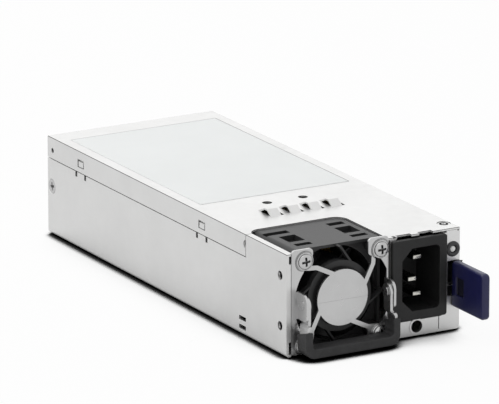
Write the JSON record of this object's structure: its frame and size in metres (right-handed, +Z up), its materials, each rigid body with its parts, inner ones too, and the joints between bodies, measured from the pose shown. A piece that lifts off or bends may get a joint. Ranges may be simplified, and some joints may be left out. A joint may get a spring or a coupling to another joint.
{
  "type": "switching power supply",
  "caption": "Slim hot-swap server power supply: sheet-metal case, guarded front fan, hinged pull handle, mains inlet, status light, sprung release latch and rear edge connector.",
  "frame": {"origin": "middle of the case's underside, halfway between its side walls and between its front and rear faces", "axes": "+X to the right seen from the front, +Y from the front face towards the rear connector, +Z up"},
  "size_m": [0.0747, 0.2163, 0.041],
  "materials": {
    "case_steel": "bright zinc plating, satin",
    "guard_steel": "stamped nickel-plated steel, satin",
    "screw_steel": "zinc plated",
    "rotor_plastic": "black glass-filled polyester",
    "fan_plastic": "black glass-filled polyester",
    "grip_plastic": "black nylon, fine texture",
    "inlet_plastic": "black nylon, satin",
    "tab_plastic": "dark blue, semi-gloss",
    "light_plastic": "clear to milky",
    "ring_plastic": "dark grey",
    "label_film": "bare white film",
    "pin_metal": "nickel-plated brass",
    "contact_gold": "gold plated",
    "spring_steel": "music wire",
    "board_green": "solder mask over glass epoxy",
    "chip_black": "moulded epoxy",
    "can_sleeve": "dark sleeve",
    "film_box": "yellow box",
    "disc_blue": "blue coating",
    "fuse_ceramic": "white ceramic tube with caps",
    "ferrite": "dark grey sintered ferrite",
    "copper": "enamelled copper",
    "tape_yellow": "polyester tape",
    "bobbin_plastic": "phenolic",
    "sink_aluminium": "plain extruded",
    "relay_case": "blue box",
    "insulator": "natural fish paper",
    "wire_sleeve": "PVC",
    "header_plastic": "natural nylon",
    "magnet": "bonded ferrite",
    "bearing_steel": "polished"
  },
  "bodies": {
    "case": {"chassis_tray": "case_steel", "top_cover": "case_steel", "rear_panel": "case_steel", "side_screws": "screw_steel", "cover_screw": "screw_steel", "label_film": "label_film", "fan_guard": "guard_steel", "guard_screws": "screw_steel", "fan_frame": "fan_plastic", "fan_stator": "copper", "fan_bearings": "bearing_steel", "handle_rivets": "screw_steel", "inlet_housing": "inlet_plastic", "inlet_pins": "pin_metal", "inlet_wires": "wire_sleeve", "light_ring": "ring_plastic", "light_pipe": "light_plastic", "light_board": "board_green", "latch_bracket": "guard_steel", "latch_rivets": "screw_steel", "latch_pin": "screw_steel", "main_board": "board_green", "board_standoffs": "screw_steel", "board_screws": "screw_steel", "insulator_sheet": "insulator", "edge_contacts": "contact_gold", "bulk_capacitor": "can_sleeve", "boost_choke_core": "ferrite", "boost_choke_winding": "copper", "transformer_core": "ferrite", "transformer_bobbin": "bobbin_plastic", "transformer_winding": "tape_yellow", "primary_heatsink": "sink_aluminium", "power_transistors": "chip_black", "fuse": "fuse_ceramic", "filter_choke_cores": "ferrite", "filter_choke_windings": "copper", "film_capacitors": "film_box", "disc_capacitors": "disc_blue", "relay": "relay_case", "bridge_rectifier": "chip_black", "output_choke": "ferrite", "output_capacitors": "can_sleeve", "output_heatsink": "sink_aluminium", "output_busbars": "copper", "control_board": "board_green", "control_chips": "chip_black", "fan_header": "header_plastic", "fan_cable": "wire_sleeve"},
    "fan_rotor_body": {"fan_rotor": "rotor_plastic", "fan_magnet": "magnet", "fan_shaft": "bearing_steel"},
    "handle": {"handle_bail": "guard_steel", "handle_grip": "grip_plastic"},
    "latch": {"latch_lever": "guard_steel", "latch_tab": "tab_plastic", "latch_spring": "spring_steel"}
  },
  "joints": [
    {"name": "fan_spin", "type": "hinge", "parent": "case", "child": "fan_rotor_body", "pos_m": [-0.01325, -0.075, 0.0195], "axis": [0, 1, 0], "continuous": true},
    {"name": "handle_swing", "type": "hinge", "parent": "case", "child": "handle", "pos_m": [-0.01325, -0.0957, 0.02], "axis": [-1, 0, 0], "range_deg": [0, 90]},
    {"name": "latch_press", "type": "hinge", "parent": "case", "child": "latch", "pos_m": [0.03325, -0.0465, 0.0197], "axis": [0, 0, -1], "range_deg": [0, 3.2], "stiffness_Nm_per_rad": 0.6, "springref_deg": -2.86}
  ]
}
